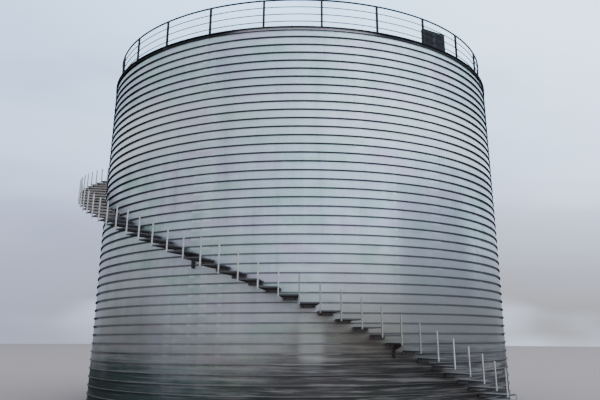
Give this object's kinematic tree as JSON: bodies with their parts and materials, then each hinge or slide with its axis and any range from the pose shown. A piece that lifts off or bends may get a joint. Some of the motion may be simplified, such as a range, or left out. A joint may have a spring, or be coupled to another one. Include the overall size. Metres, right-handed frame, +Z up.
{
  "type": "steel silo",
  "caption": "Upright round steel silo with a spiral-seam wall, low cone roof, guard rail round the roof edge and an outside helical stair of single treads on wall arms.",
  "frame": {"origin": "on the silo's axis at ground level, on the underside of the floor plate", "axes": "+Z up along the silo's axis; -Y faces the front, where the stair crosses; +X to the right of the front view"},
  "size_m": [21.912, 22.6496, 17.0074],
  "materials": {
    "wall_sheet": "galvanised, weathered satin with faint runs",
    "roof_sheet": "galvanised, dull",
    "edge_steel": "dark grey paint, matt",
    "stair_steel": "hot-dip galvanised, dull",
    "cabinet_paint": "dark grey paint, satin"
  },
  "bodies": {
    "root": {"eaves_channel_1": "edge_steel", "eaves_channel_2": "edge_steel", "eaves_channel_3": "edge_steel", "eaves_channel_4": "edge_steel", "floor_plate": "wall_sheet", "foot_angle_1": "edge_steel", "foot_angle_2": "edge_steel", "foot_angle_3": "edge_steel", "foot_angle_4": "edge_steel", "railing_1": "edge_steel", "railing_10": "edge_steel", "railing_11": "edge_steel", "railing_12": "edge_steel", "railing_2": "edge_steel", "railing_3": "edge_steel", "railing_4": "edge_steel", "railing_5": "edge_steel", "railing_6": "edge_steel", "railing_7": "edge_steel", "railing_8": "edge_steel", "railing_9": "edge_steel", "roof_1": "roof_sheet", "roof_2": "roof_sheet", "roof_3": "roof_sheet", "roof_4": "roof_sheet", "roof_5": "roof_sheet", "roof_6": "roof_sheet", "roof_cabinet": "cabinet_paint", "roof_cap": "roof_sheet", "stair_flight_1": "stair_steel", "stair_flight_2": "stair_steel", "stair_flight_3": "stair_steel", "stair_flight_4": "stair_steel", "stair_flight_5": "stair_steel", "stair_flight_6": "stair_steel", "stair_flight_7": "stair_steel", "stair_flight_8": "stair_steel", "stair_landing": "stair_steel", "wall_1": "wall_sheet", "wall_10": "wall_sheet", "wall_11": "wall_sheet", "wall_12": "wall_sheet", "wall_2": "wall_sheet", "wall_3": "wall_sheet", "wall_4": "wall_sheet", "wall_5": "wall_sheet", "wall_6": "wall_sheet", "wall_7": "wall_sheet", "wall_8": "wall_sheet", "wall_9": "wall_sheet"}
  },
  "joints": []
}
